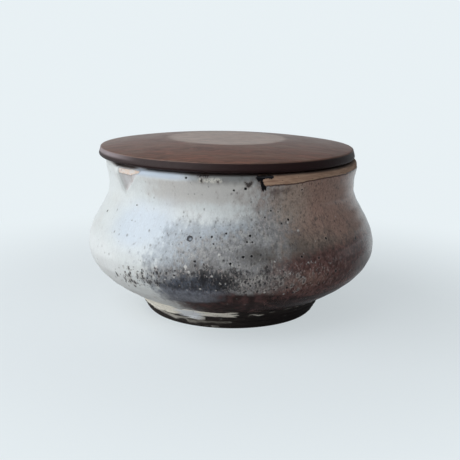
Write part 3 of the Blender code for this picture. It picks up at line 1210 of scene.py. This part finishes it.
# Slate and mauve where the ash pooled below it, and burnt brown towards the foot, which is partly painted shade
# under the belly
colour = tint(slate_mask, colour, tint(fade(mottle, 0.36, 0.66), slate_deep, slate_pale))
charring = calc("MULTIPLY", blot_mask * cluster, 1.2, clamp=True)
colour = tint(larger(pit_mask * 0.75, charring), colour, blot_tone)
mauves = tint(fade(mottle, 0.36, 0.66), mauve_deep, mauve_pale)
colour = tint(ragged_mask("mauve", broken, 1.2, 0.9), colour, mauves)
burnt_and_shade_tones = tint(fade(puffs, 0.42, 0.72), burnt_deep, burnt_red)
colour = tint(ragged_mask("burnt", broken, 1.3), colour, burnt_and_shade_tones)

# Bristles, crumbs and specks in the glaze
bristle_mask = fade(bristles, 0.55, 0.68) * bristly * (1.0 - slate_mask * 0.75)
colour = tint(bristle_mask * 0.46, colour, bristle_white)
crumb_gap = gap_to_spots(nearest_of("crumbs", crumbs)) + wobble(grit, 0.0007)
strewn_crumbs, _ = strewn(800.0, larger(crater_mask, bristly * 0.6) * 0.17, 0.23)
crumb_mask = larger(strewn_crumbs, fade(crumb_gap, 0.00018, -0.00025))
colour = tint(crumb_mask * 0.72, colour, crumb_white)
wide_specks, _ = strewn(760.0, thin_mask * 0.42 + 0.012, 0.38)
fine_specks, _ = strewn(1250.0, thin_mask * 0.30 + 0.02, 0.42)
speck_mask = larger(wide_specks * 0.55, fine_specks * 0.50)
colour = tint(speck_mask, colour, speck_brown)
pale_specks, _ = strewn(640.0, grey_mask * 0.10, 0.20)
colour = tint(pale_specks * 0.45, colour, crumb_white)
colour = tint(fade(trickles, 0.46, 0.70) * (1.0 - grey_mask) * 0.11, colour, trickle_grey)

# The front of the lip and the rim beside it, with painted shade on the lip's face, a painted highlight on the
# rolled rim and painted shadow of the lid along the rim
facet_in = stored("facet")
# The lip's face: partly the glaze's own grey and stain, partly painted shade where it turns from the window
facet_mask = fade(facet_in + wobble(mottle, 1.2), -0.25, 0.7)
facet_tones = tint(fade(puffs, 0.38, 0.66), facet_grey_and_shade, facet_stain)
colour = tint(facet_mask * 0.9, colour, facet_tones)
facet_line = (fade(facet_in, -0.7, -0.1) - fade(facet_in, 0.0, 0.6)) * stored("lip_left")
colour = tint(facet_line * 0.55, colour, facet_edge)
# Painted highlight on the rolled rim
colour = tint(stored("painted_rim_highlight"), colour, painted_rim_highlight)
# Painted shadow of the lid, dark just under its edge
colour = tint(stored("painted_lid_shadow") * 0.94, colour, rim_brown_and_shade)
# Painted grey shade below the lid
colour = tint(ragged_mask("rim_shade", broken, 0.5, 0.78), colour, rim_shade_grey)

# Faint pits, pinholes, and one wide dark pit with a painted lit patch on its lower right, where its inner wall
# faces the window
faint = fade(gap_to_spots(nearest_of("faint_pits", faint_pits)), 0.0003, -0.0005)
colour = tint(faint * 0.60, colour, faint_brown)
pinhole_gap = gap_to_spots(nearest_of("pinholes", pinholes))
pinhole = fade(pinhole_gap + wobble(grit, 0.0006), 0.00012, -0.00010)
pinhole_lip = fade(pinhole_gap, 0.0006, 0.0002) - pinhole
colour = tint(pinhole_lip * 0.07, colour, crumb_white)
colour = tint(pinhole, colour, black_glaze)
from_pit = measure("DISTANCE", place, tuple(on_pot(ringed_pit)[2])) + wobble(grit, 0.0005)
from_lit_side = measure("DISTANCE", place, tuple(on_pot(ringed_pit_lit_side)[2]))
pit = fade(from_pit, 0.00128, 0.00098)
colour = tint(pit, colour, pit_blue)
colour = tint(fade(from_lit_side, 0.00075, 0.00030) * 0.55, colour, blue_grey)

# The inside, and the crest of the rim, where the glaze thins to brown and painted shade of the lid darkens it
colour = tint(within, colour, tint(fade(cloud, 0.35, 0.70), inside_pale, inside_grey))
rim_break_and_shade = stored("rim_line_and_shade") + wobble(puffs, 1.1)
colour = tint(fade(rim_break_and_shade, 0.35, 0.75) * 0.85, colour, rim_brown_and_shade)

# Iron glaze, broken up at its edges, with pale beads beside it
bead_mask = fade(stored("beads"), -0.3, 0.6) * fade(frizz, 0.38, 0.56)
colour = tint(bead_mask * 0.75, colour, bead_cream)
colour = tint(fade(stored("smudge") + wobble(puffs, 1.5), 0.25, 0.8) * 0.6, colour, smudge_brown)
iron_gap = gap_to_spots(nearest_of("iron_spots", iron_spots)) + wobble(grit, 0.0008)
colour = tint(fade(iron_gap, 0.0009, 0.0) * 0.40, colour, iron_fringe)
colour = tint(fade(iron_gap, 0.00022, -0.00020) * 0.88, colour, iron_black)
black_edge = stored("black") + wobble(puffs, 1.6) + wobble(sprinkle, 1.6)
black_mask = fade(black_edge, -0.16, 0.16)
colour = tint(fade(black_edge, -0.9, 0.1) * 0.45, colour, black_fringe)
colour = tint(black_mask, colour, black_glaze)

# The brown line in which the glaze ends
bare_edge = stored("bare") + wobble(grit, 0.30) + wobble(puffs, 0.8)
bare_mask = fade(bare_edge, -0.08, 0.12) * (1.0 - black_mask)
line_mask = fade(bare_edge, -0.70, -0.20) * (1.0 - larger(within, black_mask))
line_share = (0.88 - fade(peel_in, -4.0, -2.0) * 0.62) * (1.0 - stored("foot_left") * 0.7)
colour = tint(line_mask * line_share, colour, edge_line)

# Bare clay: tan under the rim, peach on the lip, cream round the foot, which is otherwise near black with
# painted shade
clay_tones = tint(fade(turnings, 0.36, 0.66), clay_tan_deep, clay_tan)
peach_tones = tint(fade(puffs, 0.45, 0.62), peach, peach_pale)
peel_hem = fade(peel_in, 0.8, 0.1) * fade(mottle, 0.42, 0.60)
peach_tones = tint(peel_hem * 0.8, peach_tones, peach_hem)
clay_tones = tint(fade(peel_in, -0.8, 0.0), clay_tones, peach_tones)
pale_clay = stored("pale_clay")
cream_mask = fade(pale_clay + wobble(stains, 2.6), 0.15, 0.60)
# Away from the front the ledge is painted near black as shade
ledge_tones = tint(cream_mask, clay_in_painted_shade, clay_cream)
ledge_tones = tint(fade(turnings, 0.48, 0.68) * 0.30, ledge_tones, clay_olive)
# Painted light on the beads between the grooves and on the shelf and streak strips, painted shade elsewhere
groove_light = fade(stains, 0.50, 0.74) * (1.0 - stored("hollow")) * (pale_clay * 0.35 + 0.05)
wall_tones = tint(groove_light, clay_in_painted_shade, clay_olive)
streak_mask = fade(stored("streak") + wobble(stains, 2.6), -0.60, 0.55)
wall_tones = tint(streak_mask * 0.80, wall_tones, lit_clay_streak)
shelf_mask = fade(stored("shelf") + wobble(stains, 2.4), -0.70, 0.60)
wall_tones = tint(shelf_mask * 0.8, wall_tones, lit_clay_shelf)
foot_tones = tint(stored("foot_wall"), ledge_tones, wall_tones)
cold_mask = fade(stored("cold_clay") + wobble(stains, 1.4), 0.15, 0.85)
foot_tones = tint(cold_mask * cream_mask, foot_tones, clay_cold)
on_foot = fade(measure("DOT_PRODUCT", place, (0.0, 0.0, 1.0)), 0.020, 0.015)
clay_tones = tint(on_foot, clay_tones, foot_tones)
clay_tones = tint(fade(sprinkle, 0.70, 0.76) * 0.8, clay_tones, iron)
colour = tint(bare_mask, colour, clay_tones)
# Painted shadow of the lid along the rim, over glaze and bare clay alike
colour = tint(stored("painted_lid_shade_ring") * 0.82, colour, rim_brown_and_shade)

# What stands out and what is sunk, in millimetres
melt_raised = 0.035
mottle_raised = 0.06
clay_raised = 0.09
bristle_raised = 0.07
crumb_raised = 0.09
blot_sunk = 0.11
speck_sunk = 0.05
pinhole_sunk = 0.25
pit_sunk = 0.30
height_mm = noise_at(place, 620.0) * melt_raised + mottle * grey_mask * mottle_raised
height_mm = height_mm + grit * bare_mask * clay_raised
sunk = blot_mask * blot_sunk + speck_mask * speck_sunk + pinhole * pinhole_sunk + pit * pit_sunk
height_mm = height_mm + bristle_mask * bristle_raised + crumb_mask * crumb_raised - sunk

# How rough the glaze is, and how much rougher or smoother some places are
glaze_rough = 0.27
cloud_rougher = 0.16
crater_rougher = 0.14
clay_rougher = 0.50
taupe_smoother = 0.12
black_smoother = 0.12
gloss = cloud * cloud_rougher + glaze_rough + crater_mask * crater_rougher
gloss = gloss - taupe_mask * taupe_smoother + bare_mask * clay_rougher
gloss = calc("SUBTRACT", gloss, black_mask * black_smoother, clamp=True)
end_material(colour, height_mm, gloss)


# The lid
# A disc of dark walnut turned on a lathe: a flat in the middle, a shallow swelling slope down to a soft
# edge, and a spigot underneath that drops into the pot's mouth. It lies a little to one side and leans.
lid_overhang = 0.0010
lid_edge = 0.0040
lid_rise = 0.0032
lid_swell = 0.00035
lid_flat_radius = 0.0243
lid_top_round = 0.0006
lid_low_round = 0.0012
lid_side_slant = 0.0005
spigot_depth = 0.0055
spigot_clearance = 0.0028
spigot_edge_round = 0.0008
seat_gap = 0.0003
lid_drift_share = 0.77
lid_drift_azimuth = radians(145)
lid_lean = radians(0.25)
lid_columns = 360
grain_turn = radians(35.0)
tool_mark_pitch = 0.0009
tool_mark_raised = 0.0012
fibre_raised = 0.020
pore_sunk = 0.030
wood_rough = 0.31
fibre_rougher = 0.14
side_rougher = 0.20
flat_smoother = 0.065
heart = (0.112, 0.050, 0.034)
sap = (0.205, 0.097, 0.064)
red_fleck = (0.285, 0.122, 0.085)
grey_wear = (0.285, 0.185, 0.135)
flat_deep_and_sheen = (0.265, 0.152, 0.104)
flat_pale_and_sheen = (0.465, 0.302, 0.208)
pore_dark = (0.045, 0.020, 0.014)
side_shade_colour = (0.017, 0.0012, 0.0010)
painted_side_sheen = (0.30, 0.25, 0.26)
arris_wear = (0.20, 0.135, 0.105)

lid_radius = rim_radius + lid_overhang
spigot_radius = min(rim_radius, waist_radius) - wall - spigot_clearance
lid_top = lid_edge + lid_rise
slope_start = np.array([lid_flat_radius, lid_top])
slope_end = np.array([lid_radius - lid_side_slant - lid_top_round, lid_edge])
third = (slope_end - slope_start) / 3
proud = np.array([0.0, lid_swell * 4 / 3])
slope_rows = bend(slope_start, slope_start + third + proud, slope_end - third + proud, slope_end)
slope_angle = np.arctan2(slope_rows[-2, 1] - slope_rows[-1, 1], slope_rows[-1, 0] - slope_rows[-2, 0])
top_round_middle = slope_end - lid_top_round * np.array([sin(slope_angle), cos(slope_angle)])
low_round_middle = (lid_radius - lid_low_round, lid_low_round)
spigot_round_middle = (spigot_radius - spigot_edge_round, spigot_edge_round - spigot_depth)
lid_side_top = (top_round_middle[0] + lid_top_round, top_round_middle[1])
lid_stretches = (
    (np.array([(0.0, lid_top), (lid_flat_radius, lid_top)]), 0.0020),
    (slope_rows, 0.0011),
    (round_edge(top_round_middle, lid_top_round, pi / 2 - slope_angle, 0.0), 0.00025),
    (np.array([lid_side_top, (lid_radius, lid_low_round)]), 0.0004),
    (round_edge(low_round_middle, lid_low_round, 0.0, -pi / 2), 0.00025),
    (np.array([(low_round_middle[0], 0.0), (spigot_radius, 0.0)]), 0.0008),
    (np.array([(spigot_radius, 0.0), (spigot_radius, spigot_round_middle[1])]), 0.0006),
    (round_edge(spigot_round_middle, spigot_edge_round, 0.0, -pi / 2), 0.0003),
    (np.array([(spigot_round_middle[0], -spigot_depth), (0.0, -spigot_depth)]), 0.0025),
)
lid_rows = space_rows(lid_stretches)
lid_out, lid_up = lid_rows[:, :1], lid_rows[:, 1:]
lid_turn = np.arange(lid_columns) * 2 * pi / lid_columns
every_column = np.ones((1, lid_columns))
lid = turn_mesh("walnut_lid", lid_turn, lid_out * every_column, lid_up * every_column)
drift = spigot_clearance * lid_drift_share
lid_place = Vector((drift * cos(lid_drift_azimuth), drift * sin(lid_drift_azimuth), pot_height + seat_gap))
lid.data.transform(Matrix.Translation(lid_place) @ Matrix.Rotation(lid_lean, 4, -level_back))
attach(lid, "lid")
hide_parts("wooden_lid")

# The side of the lid, darkened with painted shade as it faces the dim near side of the room, a painted sheen
# of the window along its upper part to the left, and the soft arris above it
side_depth = 0.0022
side_fade = 0.0005
side_top = 0.0003
upper_side = 0.0006
upper_side_kept = 0.1
sheen_starts = (0.0017, 0.0026)
sheen_ends = 0.0003
sheen_middle = -84.0
sheen_spread = (22.0, 48.0)
arris_depth = 0.0006
arris_drop = 0.0004
side_inside = lid_radius - side_depth
side_rows = gate(lid_out, side_inside, lid_radius - side_fade) * (lid_up < lid_edge + side_top)
side_rows = side_rows * (1.0 - (1.0 - upper_side_kept) * gate(lid_up, lid_edge - upper_side, lid_edge))
sheen_rows = strip(lid_up, *sheen_starts, lid_edge - sheen_ends, lid_edge) * (lid_out > side_inside)
sheen_turn = np.abs(np.degrees(wrapped(lid_turn - front_azimuth)) - sheen_middle)
arris_rows = (lid_out > slope_end[0] - arris_depth) * (lid_up > lid_edge - arris_drop)
mark(lid, "side_in_painted_shade", side_rows * every_column)
mark(lid, "painted_side_sheen", sheen_rows * falling(sheen_turn, *sheen_spread))
mark(lid, "arris", arris_rows * every_column)

walnut, tree = new_material("oiled_walnut")
lid.data.materials.append(walnut)
place = Value(put("ShaderNodeTexCoord", {}, tree), "Object")
local = Value(put("ShaderNodeVectorMath", {0: place, 1: tuple(lid_place)}, operation="SUBTRACT"))


def grain(length_share, scale, detail, roughness):
    """Noise drawn out along the board."""
    along_board = stretch(local, (length_share, 1.0, 0.4), (0.0, 0.0, grain_turn))
    return noise_at(along_board, scale, detail, roughness)


fibres = grain(0.07, 1500.0, 3.0, 0.60)
bands = grain(0.16, 360.0, 3.0, 0.60)
flecks = grain(0.24, 850.0, 3.0, 0.65)
wear = grain(0.35, 240.0, 3.0, 0.60)
pores = fade(grain(0.06, 2300.0, 1.0, 0.50), 0.60, 0.70)
colour = tint(fade(bands, 0.34, 0.66), heart, sap)
colour = tint(fade(wear, 0.46, 0.68) * 0.55, colour, grey_wear)
colour = tint(fade(fibres, 0.38, 0.68) * 0.45, colour, heart)
colour = tint(fade(flecks, 0.48, 0.60) * fade(wear, 0.62, 0.42) * 0.85, colour, red_fleck)
colour = tint(pores * 0.6, colour, pore_dark)
flattened = put("ShaderNodeVectorMath", {0: local, 1: (1.0, 1.0, 0.0)}, operation="MULTIPLY")
from_axis = measure("LENGTH", Value(flattened))
on_flat = fade(from_axis, lid_flat_radius + 0.0024, lid_flat_radius - 0.0012)
# The flat: a paler tone of the wood, partly a painted sheen standing in for reflected light
colour = tint(on_flat * 0.62, colour, tint(fade(flecks, 0.36, 0.64), flat_deep_and_sheen, flat_pale_and_sheen))
side_in_painted_shade = stored("side_in_painted_shade")
# Painted shade on the side of the lid
colour = tint(side_in_painted_shade * 0.985, colour, side_shade_colour)
# A painted sheen of the window on the upper side, strongest towards the left
colour = tint(stored("painted_side_sheen") * 0.9, colour, painted_side_sheen)
colour = tint(stored("arris") * 0.3, colour, arris_wear)
tool_marks = calc("SINE", from_axis * (2 * pi / tool_mark_pitch))
height_mm = fibres * fibre_raised - pores * pore_sunk + tool_marks * tool_mark_raised
gloss = fibres * fibre_rougher + wood_rough - on_flat * flat_smoother + side_in_painted_shade * side_rougher
end_material(colour, height_mm, gloss)
